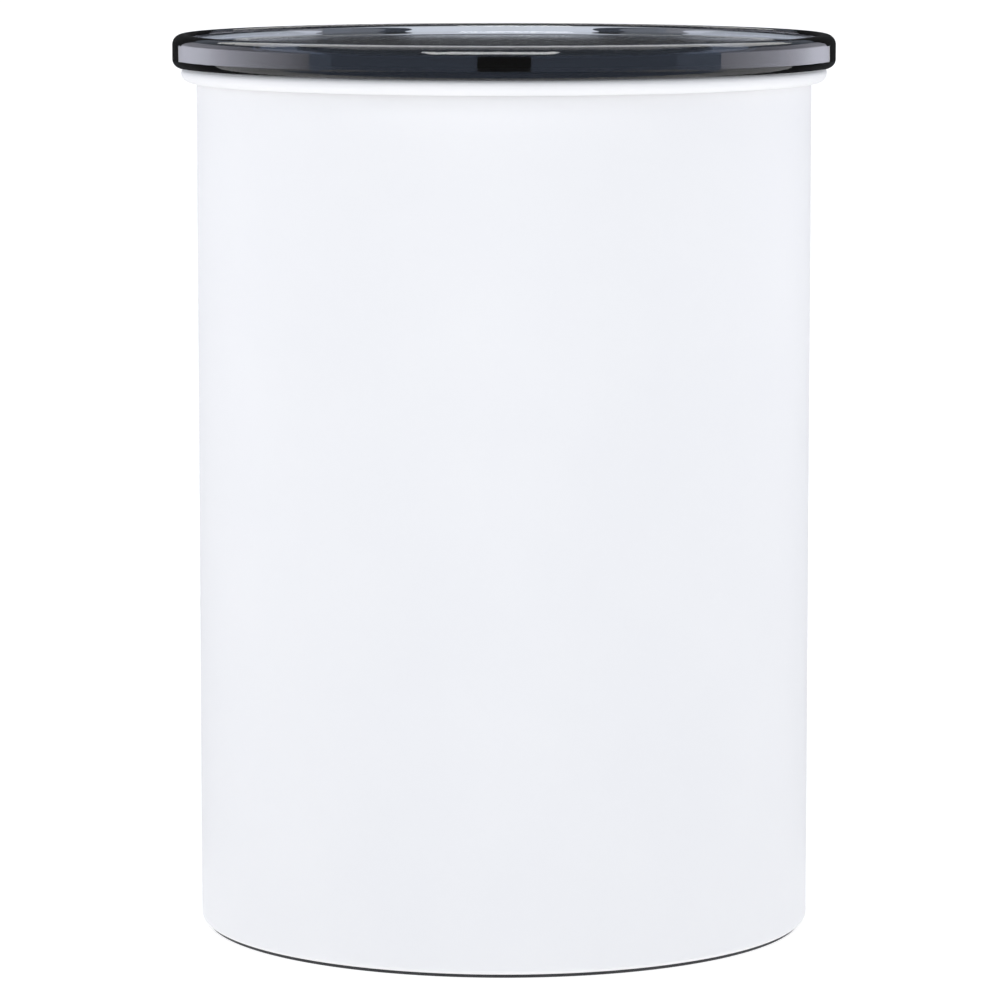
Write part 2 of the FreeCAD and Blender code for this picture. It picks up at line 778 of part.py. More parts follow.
def least_gap(path, wire, turns):
    """Least distance between the surfaces of two neighbouring turns, measured on points of the path."""
    points = path.discretize(Number=round(turns * POINTS_PER_TURN))
    apart = POINTS_PER_TURN // 2
    return min(
        (points[later] - points[earlier]).Length
        for earlier in range(len(points))
        for later in range(earlier + apart, len(points))
    ) - wire


def valve_spring():
    """Coil spring round the seal, from the dish's floor to the stem's flange."""
    wire_radius = number("size.spring_wire / 2")
    rest = wire_radius + number("size.spring_end_gap")
    low, high = number(floor_top) + rest, number(stem_flange_low) - rest
    path = helix_path(number(spring_radius), low, high, SPRING_TURNS)
    start = path.OrderedVertexes[0].Point
    section = Part.Wire(Part.makeCircle(wire_radius, start, path.OrderedEdges[0].tangentAt(0)))
    sweep = Part.BRepOffsetAPI.MakePipeShell(path)
    sweep.add(section)
    sweep.build()
    sweep.makeSolid()
    spring = doc.addObject("Part::Feature", "valve_spring")
    spring.Label = "valve_spring"
    spring.Shape = sweep.shape()
    spring.setExpression("Placement.Base.z", inner_lid_height)
    print(f"valve_spring least gap to itself {least_gap(path, 2 * wire_radius, SPRING_TURNS):.2f} mm")
    return spring


def cam_point(degrees):
    """A point of the cam's face: a flat top under the shaft falls back evenly as the handle turns."""
    turn = math.radians(degrees)
    fall = number("size.valve_lift") / math.radians(CAM_TURN)
    reach = number(cam_radius) - fall * turn
    return Vector(
        0,
        fall * math.cos(turn) - reach * math.sin(turn),
        -fall * math.sin(turn) - reach * math.cos(turn),
    )


def cam_lobe():
    """The cam on the shaft, an involute on its working side and straight flanks on the other."""
    step = CAM_TURN / CAM_ARCS
    edges = []
    for index in range(CAM_ARCS):
        turns = (index * step, (index + 0.5) * step, (index + 1) * step)
        edges.append(Part.Arc(*[cam_point(turn) for turn in turns]).toShape())
    flank = Vector(0, number(shaft_radius), 0)
    edges.append(Part.makeLine(cam_point(CAM_TURN), flank))
    edges.append(Part.makeLine(flank, cam_point(0)))
    width = number("size.cam_width")
    lobe = doc.addObject("Part::Feature", "cam_lobe")
    lobe.Shape = Part.Face(Part.Wire(edges)).extrude(Vector(width, 0, 0))
    lobe.setExpression("Placement.Base.x", "-size.cam_width / 2")
    return lobe


def lay_along_x(shape_object, start):
    """Turns a cylinder from Z to X and starts it at the given place on the pivot axis."""
    shape_object.Placement = FreeCAD.Placement(Vector(), FreeCAD.Rotation(Vector(0, 1, 0), 90))
    shape_object.setExpression("Placement.Base.x", start)


def handle_bow():
    """U-shaped bow of the handle, lying towards +Y from the pivot axis, with rounded edges."""
    body = new_body("handle_bow")
    sketch = new_sketch(body, "bow_outline", "XY_Plane")
    reach, corner, bar = "size.handle_reach", "size.handle_corner", "size.handle_bar"
    inner, inner_corner = f"({handle_span} - {bar})", f"({corner} - {bar})"
    draw_outline(sketch, [
        (handle_span, "0"),
        (handle_span, f"{reach} - {corner}"),
        (f"{handle_span} - {corner}", reach, corner, 1),
        (f"-({handle_span} - {corner})", reach),
        (f"-{handle_span}", f"{reach} - {corner}", corner, 1),
        (f"-{handle_span}", "0"),
        (f"-{inner}", "0"),
        (f"-{inner}", f"{reach} - {corner}"),
        (f"-({handle_span} - {corner})", f"{reach} - {bar}", inner_corner, -1),
        (f"{handle_span} - {corner}", f"{reach} - {bar}"),
        (inner, f"{reach} - {corner}", inner_corner, -1),
        (inner, "0"),
    ])
    bow = pad(body, sketch, "bow", "size.handle_thickness", "Symmetric")
    doc.recompute()
    half = number("size.handle_thickness") / 2
    rims = [
        f"Edge{index}"
        for index, edge in enumerate(bow.Shape.Edges, start=1)
        if all(abs(abs(vertex.Z) - half) < TOLERANCE for vertex in edge.Vertexes)
        and edge.BoundBox.YMax > TOLERANCE
        and edge.BoundBox.ZLength < TOLERANCE
    ]
    rounded = body.newObject("PartDesign::Fillet", "bow_rounds")
    rounded.Base = (bow, rims)
    rounded.setExpression("Radius", "size.handle_round")
    return body


def handle():
    """Folding handle: bow, cross shaft and cam in one piece, with a blind pin bore at each end."""
    bow = handle_bow()
    shaft = doc.addObject("Part::Cylinder", "handle_shaft")
    shaft.setExpression("Radius", shaft_radius)
    shaft.setExpression("Height", f"2 * {handle_span}")
    lay_along_x(shaft, f"-{handle_span}")
    blank = doc.addObject("Part::MultiFuse", "handle_blank")
    blank.Shapes = [bow, shaft, cam_lobe()]
    bores = doc.addObject("Part::Compound", "handle_bores")
    links = []
    depth = "(size.pin_engagement + size.cut_overrun)"
    for name, start in (
        ("left_bore", f"-{handle_span} - size.cut_overrun"),
        ("right_bore", f"{handle_span} - size.pin_engagement"),
    ):
        bore = doc.addObject("Part::Cylinder", name)
        bore.setExpression("Radius", "size.pin_radius + size.pin_run_gap")
        bore.setExpression("Height", depth)
        lay_along_x(bore, start)
        links.append(bore)
    bores.Links = links
    finished = doc.addObject("Part::Cut", "handle")
    finished.Label = "handle"
    finished.Base, finished.Tool = blank, bores
    finished.setExpression("Placement.Base.z", f"{inner_lid_height} + {pivot_height}")
    return finished


def pivot_pins():
    """Two pins, flush with the ears outside, that reach into the handle's shaft."""
    inside = f"({handle_span} - size.pin_engagement + size.handle_end_gap)"
    outside = "(size.ear_spacing / 2 + size.ear_thickness)"
    pins = []
    for name, start in (("left_pin", f"-{outside}"), ("right_pin", inside)):
        pin = doc.addObject("Part::Cylinder", name)
        pin.setExpression("Radius", "size.pin_radius")
        pin.setExpression("Height", f"{outside} - {inside}")
        lay_along_x(pin, start)
        pins.append(pin)
    group = doc.addObject("Part::Compound", "pivot_pins")
    group.Label = "pivot_pins"
    group.Links = pins
    group.setExpression("Placement.Base.z", f"{inner_lid_height} + {pivot_height}")
    return group


sub_parts = [
    can_shell(),
    base_pad(),
    outer_lid(),
    lid_seal_ring(),
    plunger_dish(),
    base_plate(),
    wiper_gasket(),
    plate_screws(),
    inlet_screen(),
    valve_cap(),
    valve_stem(),
    valve_seal(),
    valve_spring(),
    handle(),
    pivot_pins(),
]
doc.recompute()

for item in doc.Objects:
    if {"Invalid", "Error"} & set(item.State):
        raise RuntimeError(f"{item.Label} failed: {item.State}")
for item in sub_parts:
    if item.Shape.isNull() or not item.Shape.isValid():
        raise RuntimeError(f"{item.Label} has no valid shape")

os.makedirs("parts", exist_ok=True)
for item in sub_parts:
    item.Shape.exportStep(f"parts/{item.Label}.step")
    box = item.Shape.BoundBox
    print(
        f"{item.Label}: {len(item.Shape.Solids)} solids, {item.Shape.Volume:.1f} mm3, "
        f"z {box.ZMin:.2f} to {box.ZMax:.2f}"
    )
pivot_axis = number(f"{inner_lid_height} + {pivot_height}")
print(f"inner lid at {number(inner_lid_height):.3f}, pivot axis at {pivot_axis:.3f}")
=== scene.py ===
import math

import bpy
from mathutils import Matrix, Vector


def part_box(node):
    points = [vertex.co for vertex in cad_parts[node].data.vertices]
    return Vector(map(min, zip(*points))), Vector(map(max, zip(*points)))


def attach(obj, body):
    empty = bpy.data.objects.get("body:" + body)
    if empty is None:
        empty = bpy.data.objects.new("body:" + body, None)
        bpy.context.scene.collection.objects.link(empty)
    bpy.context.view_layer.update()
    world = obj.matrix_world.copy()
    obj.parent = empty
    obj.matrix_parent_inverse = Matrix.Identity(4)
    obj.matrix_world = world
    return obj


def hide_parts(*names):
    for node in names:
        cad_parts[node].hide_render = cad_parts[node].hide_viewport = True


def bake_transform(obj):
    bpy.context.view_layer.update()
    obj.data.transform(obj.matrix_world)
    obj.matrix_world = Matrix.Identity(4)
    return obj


# Looks of the coffee canister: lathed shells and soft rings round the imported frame, their materials,
# and a white studio. Metres, in the frame's own axes.

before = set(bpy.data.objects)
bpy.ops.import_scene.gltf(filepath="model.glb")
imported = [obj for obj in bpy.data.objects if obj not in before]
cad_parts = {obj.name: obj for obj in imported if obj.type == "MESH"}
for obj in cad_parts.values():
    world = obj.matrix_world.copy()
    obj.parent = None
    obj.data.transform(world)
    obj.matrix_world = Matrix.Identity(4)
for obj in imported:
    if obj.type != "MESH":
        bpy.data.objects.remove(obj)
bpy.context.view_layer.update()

MM = 0.001

# Driving dimensions that the frame's boxes don't give
CAN_WALL = 0.7 * MM
RIM_OVERHANG = 3.0 * MM
RIM_END_GAP = 1.2 * MM
RIM_ROUND = 1.3 * MM
BASE_CORNER = 1.1 * MM
PAD_EDGE_ROUND = 0.25 * MM
PAD_GROOVE_WIDTH = 1.6 * MM
PAD_GROOVE_DEPTH = 0.3 * MM
PAD_GROOVE_SHARES = (0.34, 0.62, 0.9)
LID_SEAT_GAP = 0.15 * MM
LID_RIM_WIDTH = 3.4 * MM
LID_RECESS = 2.4 * MM
LID_PANEL = 2.0 * MM
LID_OUTER_ROUND = 2.0 * MM
LID_INNER_ROUND = 0.8 * MM
LID_LIP_INSET = 0.3 * MM
LID_LIP_WIDTH = 0.3 * MM
LID_LIP_DROP = 0.4 * MM
FLAT_END = 0.1 * MM
PLUG_CLEARANCE = 0.6 * MM
PLUG_WALL = 2.4 * MM
PLUG_ROUND = 0.6 * MM
RING_DEPTH = 1.0 * MM
RING_BULGE = 0.7 * MM
SOFT_FIT_GAP = 0.05 * MM
GASKET_BODY = 2.3 * MM
GASKET_ROOM = 5.3 * MM
GASKET_GAP = 0.1 * MM
LIP_ROOT = 1.9 * MM
LIP_TIP = 0.9 * MM
LIP_SWEEP = 1.6 * MM
LIP_INSET = 2.6 * MM
SEAL_EDGE_ROUND = 0.3 * MM
SPIGOT_RADIUS = 1.6 * MM
SPRING_WIRE = 0.8 * MM
SPRING_TURNS = 2.5

# How finely round shapes are cut
LATHE_SEGMENTS = 256
ARC_STEP = math.radians(7.5)
SHARP_ANGLE = math.radians(40)
ON_AXIS = 0.001 * MM
WIRE_SIDES = 16
WIRE_STEPS_PER_TURN = 64

# Boxes of the CAD nodes that get a finer mesh
can_low, can_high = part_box("can_shell")
pad_low, pad_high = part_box("base_pad")
lid_low, lid_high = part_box("outer_lid")
ring_low, ring_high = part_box("lid_seal_ring")
gasket_low, gasket_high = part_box("wiper_gasket")
seal_low, seal_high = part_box("valve_seal")
spring_low, spring_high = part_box("valve_spring")

# Sizes that several pieces or materials share
rim_radius = can_high.x
can_radius = rim_radius - RIM_OVERHANG
can_bore = can_radius - CAN_WALL
roll_height = can_high.z - RIM_ROUND
recess_radius = lid_high.x - LID_RIM_WIDTH
panel_height = lid_high.z - LID_RECESS
plug_radius = can_bore - PLUG_CLEARANCE
groove_radius = plug_radius - RING_DEPTH


# Mesh helpers

def bend(start, end, radius, turn):
    """Points after start of the short arc to end, bending left for turn +1 and right for turn -1."""
    chord = end - start
    across = Vector((-chord.y, chord.x)).normalized()
    rise = math.sqrt(max(radius**2 - chord.length_squared / 4, 0))
    centre = (start + end) / 2 + across * rise * turn
    first = math.atan2(start.y - centre.y, start.x - centre.x)
    sweep = 2 * math.asin(min(chord.length / (2 * radius), 1)) * turn
    steps = max(2, math.ceil(abs(sweep) / ARC_STEP))
    angles = [first + sweep * step / steps for step in range(1, steps)]
    return [centre + Vector((math.cos(angle), math.sin(angle))) * radius for angle in angles] + [end]


def outline(corners):
    """A closed profile of corners (radius, height), or (radius, height, bend radius, turn) for an arc."""
    places = [Vector(corner[:2]) for corner in corners]
    points = []
    for index, corner in enumerate(corners):
        if len(corner) == 2:
            points.append(places[index])
        else:
            points += bend(places[index - 1], places[index], corner[2], corner[3])
    return points


def new_piece(name, vertices, faces, *materials):
    """A smooth mesh with sharp edges where its faces meet steeply."""
    mesh = bpy.data.meshes.new(name)
    mesh.from_pydata(vertices, [], faces)
    for material in materials:
        mesh.materials.append(material)
    mesh.shade_smooth()
    mesh.set_sharp_from_angle(angle=SHARP_ANGLE)
    mesh.update()
    piece = bpy.data.objects.new(name, mesh)
    bpy.context.scene.collection.objects.link(piece)
    return piece


def lathe(name, corners, *materials):
    """A full turn about Z of a closed profile that runs anticlockwise, radius to the right."""
    rows, vertices = [], []
    for point in outline(corners):
        if point.x < ON_AXIS:
            rows.append([len(vertices)] * LATHE_SEGMENTS)
            vertices.append((0, 0, point.y))
            continue
        rows.append(list(range(len(vertices), len(vertices) + LATHE_SEGMENTS)))
        for segment in range(LATHE_SEGMENTS):
            angle = 2 * math.pi * segment / LATHE_SEGMENTS
            vertices.append((point.x * math.cos(angle), point.x * math.sin(angle), point.y))
    faces = []
    for row, following in zip(rows, rows[1:] + rows[:1]):
        for segment in range(LATHE_SEGMENTS):
            after = (segment + 1) % LATHE_SEGMENTS
            loop = [row[segment], row[after], following[after], following[segment]]
            corners_left = list(dict.fromkeys(loop))
            if len(corners_left) > 2:
                faces.append(corners_left)
    return new_piece(name, vertices, faces, *materials)


# Node helpers

# Middle range of a noise, which is spread over a look's own range
NOISE_LOW = 0.3
NOISE_HIGH = 0.7


def new_material(name):
    """A material, its node tree and its shader."""
    material = bpy.data.materials.new(name)
    material.use_nodes = True
    tree = material.node_tree
    shader = tree.nodes["Principled BSDF"]
    return material, tree, shader


def own_place(tree):
    """The piece's own coordinates, so that a look moves with the piece."""
    return tree.nodes.new("ShaderNodeTexCoord").outputs["Object"]


def split(tree, vector):
    """The three coordinates of a vector."""
    apart = tree.nodes.new("ShaderNodeSeparateXYZ")
    tree.links.new(vector, apart.inputs["Vector"])
    return apart.outputs["X"], apart.outputs["Y"], apart.outputs["Z"]


def calculate(tree, operation, *terms):
    """Result of an operation on numbers and on other nodes' outputs."""
    node = tree.nodes.new("ShaderNodeMath")
    node.operation = operation
    for socket, term in zip(node.inputs, terms):
        if isinstance(term, bpy.types.NodeSocket):
            tree.links.new(term, socket)
        else:
            socket.default_value = term
    return node.outputs["Value"]


def from_axis(tree, x, y):
    """Distance from the axis that the round pieces share."""
    return calculate(tree, "SQRT", calculate(tree, "MULTIPLY_ADD", x, x, calculate(tree, "MULTIPLY", y, y)))


def remap(tree, source, start, end, first, last, smooth=False):
    """Goes from first to last as the source goes from start to end."""
    mapped = tree.nodes.new("ShaderNodeMapRange")
    mapped.interpolation_type = "SMOOTHSTEP" if smooth else "LINEAR"
    mapped.inputs["From Min"].default_value = start
    mapped.inputs["From Max"].default_value = end
    mapped.inputs["To Min"].default_value = first
    mapped.inputs["To Max"].default_value = last
    tree.links.new(source, mapped.inputs["Value"])
    return mapped.outputs["Result"]


def noise(tree, place, scale, detail):
    """Noise from 0 to 1 over the coordinates given."""
    texture = tree.nodes.new("ShaderNodeTexNoise")
    texture.inputs["Scale"].default_value = scale
    texture.inputs["Detail"].default_value = detail
    tree.links.new(place, texture.inputs["Vector"])
    return texture.outputs["Fac"]


def spread(tree, source, low, high):
    """Maps a noise's middle range to low..high."""
    return remap(tree, source, NOISE_LOW, NOISE_HIGH, low, high)


def mix_colours(tree, share, first, second):
    """Goes from the first colour to the second over a noise's middle range."""
    ramp = tree.nodes.new("ShaderNodeValToRGB")
    start, end = ramp.color_ramp.elements
    start.position = NOISE_LOW
    end.position = NOISE_HIGH
    start.color = (*first, 1)
    end.color = (*second, 1)
    tree.links.new(share, ramp.inputs["Fac"])
    return ramp.outputs["Color"]


def cover(tree, shader, mottle, fine, colours, rough, height, strength):
    """Colour that follows one noise, with gloss and relief that follow another."""
    tree.links.new(mix_colours(tree, mottle, *colours), shader.inputs["Base Color"])
    tree.links.new(spread(tree, fine, *rough), shader.inputs["Roughness"])
    bump = tree.nodes.new("ShaderNodeBump")
    bump.inputs["Distance"].default_value = height
    bump.inputs["Strength"].default_value = strength
    tree.links.new(fine, bump.inputs["Height"])
    tree.links.new(bump.outputs["Normal"], shader.inputs["Normal"])


# Materials

WHITE = (1, 1, 1, 1)
COAT_SPECULAR = 0.25
STREAK_STRETCH = (3, 9000, 9000)
SMOKE_IOR = 1.5
SMOKE_TINT = (0.086, 0.143, 0.243, 1)
SMOKE_DENSITY = 350
SMOKE_POLISH = (0.006, 0.014)
PANEL_SATIN = 0.2


def powder_coat():
    """Satin white coat with a fine orange peel and a faint cloudiness."""
    material, tree, shader = new_material("powder_coat")
    shader.inputs["Specular IOR Level"].default_value = COAT_SPECULAR
    cloud = noise(tree, own_place(tree), scale=35, detail=3)
    peel = noise(tree, own_place(tree), scale=900, detail=2)
    cover(
        tree, shader, cloud, peel,
        colours=((0.862, 0.855, 0.856), (0.876, 0.868, 0.866)),
        rough=(0.54, 0.62), height=0.02 * MM, strength=0.35,
    )
    return material


def turned_place(tree):
    """Cylindrical coordinates about the can's axis: round the turn, up, and outward."""
    x, y, z = split(tree, own_place(tree))
    joined = tree.nodes.new("ShaderNodeCombineXYZ")
    tree.links.new(calculate(tree, "ARCTAN2", y, x), joined.inputs["X"])
    tree.links.new(z, joined.inputs["Y"])
    tree.links.new(from_axis(tree, x, y), joined.inputs["Z"])
    return joined.outputs["Vector"]


def brushed_steel():
    """Bare steel with fine scratches that run round the axis."""
    material, tree, shader = new_material("brushed_steel")
    shader.inputs["Metallic"].default_value = 1
    stretch = tree.nodes.new("ShaderNodeMapping")
    stretch.inputs["Scale"].default_value = STREAK_STRETCH
    tree.links.new(turned_place(tree), stretch.inputs["Vector"])
    streaks = noise(tree, stretch.outputs["Vector"], scale=1, detail=4)
    cover(
        tree, shader, streaks, streaks,
        colours=((0.7, 0.7, 0.695), (0.79, 0.785, 0.78)),
        rough=(0.24, 0.36), height=0.005 * MM, strength=0.15,
    )
    return material


def inside_panel(tree):
    """1 on the face of the lid's sunk panel, and 0 on the rest of the lid."""
    x, y, z = split(tree, own_place(tree))
    above = calculate(tree, "GREATER_THAN", z, panel_height - LID_PANEL / 2)
    within = calculate(tree, "LESS_THAN", from_axis(tree, x, y), recess_radius - LID_INNER_ROUND)
    return calculate(tree, "MULTIPLY", above, within)


def smoke_plastic():
    """Clear plastic tinted dark grey in its depth: polished, with a fine satin on the sunk panel."""
    material, tree, shader = new_material("smoke_plastic")
    shader.inputs["Base Color"].default_value = WHITE
    shader.inputs["Transmission Weight"].default_value = 1
    shader.inputs["IOR"].default_value = SMOKE_IOR
    polish = spread(tree, noise(tree, own_place(tree), scale=60, detail=2), *SMOKE_POLISH)
    finish = calculate(tree, "MULTIPLY_ADD", inside_panel(tree), PANEL_SATIN, polish)
    tree.links.new(finish, shader.inputs["Roughness"])
    tint = tree.nodes.new("ShaderNodeVolumeAbsorption")
    tint.inputs["Color"].default_value = SMOKE_TINT
    tint.inputs["Density"].default_value = SMOKE_DENSITY
    tree.links.new(tint.outputs["Volume"], tree.nodes["Material Output"].inputs["Volume"])
    return material


def moulded(name, colours, rough, grain, height, strength):
    """Moulded plastic or rubber: a mottled colour, and a fine grain in gloss and relief."""
    material, tree, shader = new_material(name)
    cloud = noise(tree, own_place(tree), scale=120, detail=4)
    fine = noise(tree, own_place(tree), scale=grain, detail=3)
    cover(tree, shader, cloud, fine, colours, rough, height, strength)
    return material


def plain_steel():
    """Stainless steel of small turned parts."""
    material, tree, shader = new_material("small_steel")
    shader.inputs["Metallic"].default_value = 1
    cloud = noise(tree, own_place(tree), scale=1500, detail=4)
    cover(
        tree, shader, cloud, cloud,
        colours=((0.55, 0.55, 0.55), (0.68, 0.675, 0.67)),
        rough=(0.2, 0.34), height=0.01 * MM, strength=0.2,
    )
    return material


coat = powder_coat()
inner_steel = brushed_steel()
smoke = smoke_plastic()
small_steel = plain_steel()
rubber = moulded(
    "pad_rubber",
    colours=((0.018, 0.018, 0.02), (0.03, 0.03, 0.032)),
    rough=(0.6, 0.75), grain=1800, height=0.05 * MM, strength=0.5,
)
silicone = moulded(
    "silicone",
    colours=((0.36, 0.37, 0.38), (0.42, 0.43, 0.44)),
    rough=(0.45, 0.55), grain=700, height=0.02 * MM, strength=0.3,
)
black_plastic = moulded(
    "black_plastic",
    colours=((0.016, 0.017, 0.018), (0.026, 0.027, 0.029)),
    rough=(0.45, 0.6), grain=2200, height=0.03 * MM, strength=0.5,
)
handle_plastic = moulded(
    "handle_plastic",
    colours=((0.02, 0.021, 0.022), (0.03, 0.031, 0.033)),
    rough=(0.3, 0.4), grain=1400, height=0.01 * MM, strength=0.3,
)
valve_plastic = moulded(
    "valve_plastic",
    colours=((0.27, 0.28, 0.29), (0.33, 0.34, 0.35)),
    rough=(0.38, 0.5), grain=1600, height=0.02 * MM, strength=0.3,
)


# Pieces

def make_can():
    """Drawn can with its rolled rim, coated outside and bare steel inside."""
    under = RIM_OVERHANG - RIM_END_GAP
    rolled_in, under_in = RIM_ROUND - CAN_WALL, under - CAN_WALL
    roll_inner, roll_outer = can_bore + RIM_ROUND, rim_radius - RIM_ROUND
    roll_end, roll_foot = rim_radius - under, roll_height - under
    inner_corner = BASE_CORNER - CAN_WALL
    low = can_low.z
    floor = low + CAN_WALL
    can = lathe("can", [
        (0, low),
        (can_radius - BASE_CORNER, low),
        (can_radius, low + BASE_CORNER, BASE_CORNER, 1),
        (can_radius, roll_height),
        (roll_inner, roll_height + rolled_in, rolled_in, -1),
        (roll_outer, roll_height + rolled_in),
        (rim_radius - CAN_WALL, roll_height, rolled_in, -1),
        (roll_end, roll_foot + CAN_WALL, under_in, -1),
        (roll_end, roll_foot),
        (rim_radius, roll_height, under, 1),
        (roll_outer, can_high.z, RIM_ROUND, 1),
        (roll_inner, can_high.z),
        (can_bore, roll_height, RIM_ROUND, 1),
        (can_bore, floor + inner_corner),
        (can_bore - inner_corner, floor, inner_corner, -1),
        (0, floor),
    ], coat, inner_steel)
    skin = CAN_WALL / 2
    for face in can.data.polygons:
        inside = face.center.xy.length < can_bore + skin and low + skin < face.center.z < roll_height
        face.material_index = 1 if inside else 0
    can.modifiers.new("even_normals", "WEIGHTED_NORMAL").keep_sharp = True
    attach(can, "can")
    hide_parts("can_shell")


def make_pad():
    """Non-slip pad with ring grooves in its sole."""
    radius, low, top = pad_high.x, pad_low.z, pad_high.z
    roof = low + PAD_GROOVE_DEPTH
    corners = [(0, low)]
    for share in PAD_GROOVE_SHARES:
        inner = share * radius
        outer = inner + PAD_GROOVE_WIDTH
        corners += [(inner, low), (inner, roof), (outer, roof), (outer, low)]
    corners += [
        (radius - PAD_EDGE_ROUND, low),
        (radius, low + PAD_EDGE_ROUND, PAD_EDGE_ROUND, 1),
        (radius, top),
        (0, top),
    ]
    pad = lathe("pad", corners, rubber)
    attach(pad, "can")
    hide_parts("base_pad")


def make_outer_lid():
    """Smoke cover with a raised edge round a sunk panel, and a plug wall with the ring's groove."""
    radius, top, end = lid_high.x, lid_high.z, lid_low.z
    seat = can_high.z + LID_SEAT_GAP
    lip_inner = rim_radius - LID_LIP_INSET
    lip_low = seat - LID_LIP_DROP
    foot = lip_inner + LID_LIP_WIDTH
    under = radius - foot
    panel_under = panel_height - LID_PANEL
    plug_inner = plug_radius - PLUG_WALL
    groove_low, groove_high = ring_low.z - SOFT_FIT_GAP, ring_high.z + SOFT_FIT_GAP
    inner, outer, tip = LID_INNER_ROUND, LID_OUTER_ROUND, PLUG_ROUND
    lid = lathe("lid_cover", [
        (0, panel_under),
        (plug_inner, panel_under),
        (plug_inner, end + tip),
        (plug_inner + tip, end, tip, 1),
        (plug_radius - tip, end),
        (plug_radius, end + tip, tip, 1),
        (plug_radius, groove_low),
        (groove_radius, groove_low),
        (groove_radius, groove_high),
        (plug_radius, groove_high),
        (plug_radius, seat),
        (lip_inner, seat),
        (lip_inner, lip_low),
        (foot, lip_low),
        (radius, lip_low + under, under, 1),
        (radius, lip_low + under + FLAT_END),
        (radius, top - outer - FLAT_END),
        (radius, top - outer),
        (radius - outer, top, outer, 1),
        (recess_radius + inner, top),
        (recess_radius, top - inner, inner, 1),
        (recess_radius, panel_height + inner),
        (recess_radius - inner, panel_height, inner, -1),
        (0, panel_height),
    ], smoke)
    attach(lid, "outer_lid")
    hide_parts("outer_lid")


def make_seal_ring():
    """Soft ring in the groove of the lid's plug wall."""
    inner = groove_radius + SOFT_FIT_GAP
    outer = ring_high.x
    half = (ring_high.z - ring_low.z) / 2
    round_face = (half**2 + RING_BULGE**2) / (2 * RING_BULGE)
    ring = lathe("seal_ring", [
        (inner, ring_low.z),
        (outer - RING_BULGE, ring_low.z),
        (outer, ring_low.z + half, round_face, 1),
        (outer - RING_BULGE, ring_high.z, round_face, 1),
        (inner, ring_high.z),
    ], silicone)
    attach(ring, "outer_lid")
    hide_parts("lid_seal_ring")


def make_gasket():
    """Wiper ring with one lip turned up and one turned down."""
    inner = can_bore - GASKET_ROOM + GASKET_GAP
    outer, reach = inner + GASKET_BODY, gasket_high.x
    low, high = gasket_low.z, gasket_high.z
    lower_root, upper_root = low + LIP_INSET, high - LIP_INSET
    lower_tip, upper_tip = lower_root - LIP_SWEEP, upper_root + LIP_SWEEP
    tip = LIP_TIP / 2
    gasket = lathe("gasket", [
        (inner, low),
        (outer, low),
        (outer, lower_root),
        (reach - tip, lower_tip),
        (reach, lower_tip + tip, tip, 1),
        (reach - tip, lower_tip + LIP_TIP, tip, 1),
        (outer, lower_root + LIP_ROOT),
        (outer, upper_root - LIP_ROOT),
        (reach - tip, upper_tip - LIP_TIP),
        (reach, upper_tip - tip, tip, 1),
        (reach - tip, upper_tip, tip, 1),
        (outer, upper_root),
        (outer, high),
        (inner, high),
    ], silicone)
    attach(gasket, "inner_lid")
    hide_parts("wiper_gasket")


def make_valve_seal():
    """Soft disc on the valve stem's foot, with softened edges."""
    inner, outer, edge = SPIGOT_RADIUS + SOFT_FIT_GAP, seal_high.x, SEAL_EDGE_ROUND
    seal = lathe("seal_disc", [
        (inner, seal_low.z),
        (outer - edge, seal_low.z),
        (outer, seal_low.z + edge, edge, 1),
        (outer, seal_high.z - edge),
        (outer - edge, seal_high.z, edge, 1),
        (inner, seal_high.z),
    ], silicone)
    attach(seal, "valve")
    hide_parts("valve_seal")


def make_spring():
    """Coil spring under the stem's flange."""
    wire = SPRING_WIRE / 2
    radius = spring_high.x - wire
    low, high = spring_low.z + wire, spring_high.z - wire
    climb = (high - low) / (2 * math.pi * SPRING_TURNS)
    steps = round(SPRING_TURNS * WIRE_STEPS_PER_TURN)
    vertices, faces = [], []
    for step in range(steps + 1):
        angle = 2 * math.pi * SPRING_TURNS * step / steps
        outward = Vector((math.cos(angle), math.sin(angle), 0))
        heading = Vector((-math.sin(angle) * radius, math.cos(angle) * radius, climb)).normalized()
        upward = heading.cross(outward).normalized() * -1
        middle = outward * radius + Vector((0, 0, low + climb * angle))
        for side in range(WIRE_SIDES):
            turn = 2 * math.pi * side / WIRE_SIDES
            vertices.append(middle + (outward * math.cos(turn) + upward * math.sin(turn)) * wire)
    for step in range(steps):
        for side in range(WIRE_SIDES):
            here, after = step * WIRE_SIDES, (side + 1) % WIRE_SIDES
            ahead = here + WIRE_SIDES
            faces.append([here + side, ahead + side, ahead + after, here + after])
    faces.append(list(range(WIRE_SIDES)))
    faces.append([steps * WIRE_SIDES + side for side in reversed(range(WIRE_SIDES))])
    spring = new_piece("coil_spring", vertices, faces, small_steel)
    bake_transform(spring)
    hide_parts("valve_spring")


def dress_frame():
    """Materials of the CAD nodes that stay in view."""
    finishes = {
        "plunger_dish": (black_plastic, "black_plastic"),
        "base_plate": (black_plastic, "black_plastic"),
        "plate_screws": (small_steel, "steel"),
        "inlet_screen": (small_steel, "steel"),
        "valve_cap": (valve_plastic, "valve_plastic"),
        "valve_stem": (valve_plastic, "valve_plastic"),
        "handle": (handle_plastic, "handle_plastic"),
        "pivot_pins": (small_steel, "steel"),
    }
    for node, (material, slot) in finishes.items():
        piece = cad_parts[node]
        piece.data.materials.clear()
        piece.data.materials.append(material)


make_can()
make_pad()
make_outer_lid()
make_seal_ring()
make_gasket()
make_valve_seal()
make_spring()
dress_frame()


# Studio

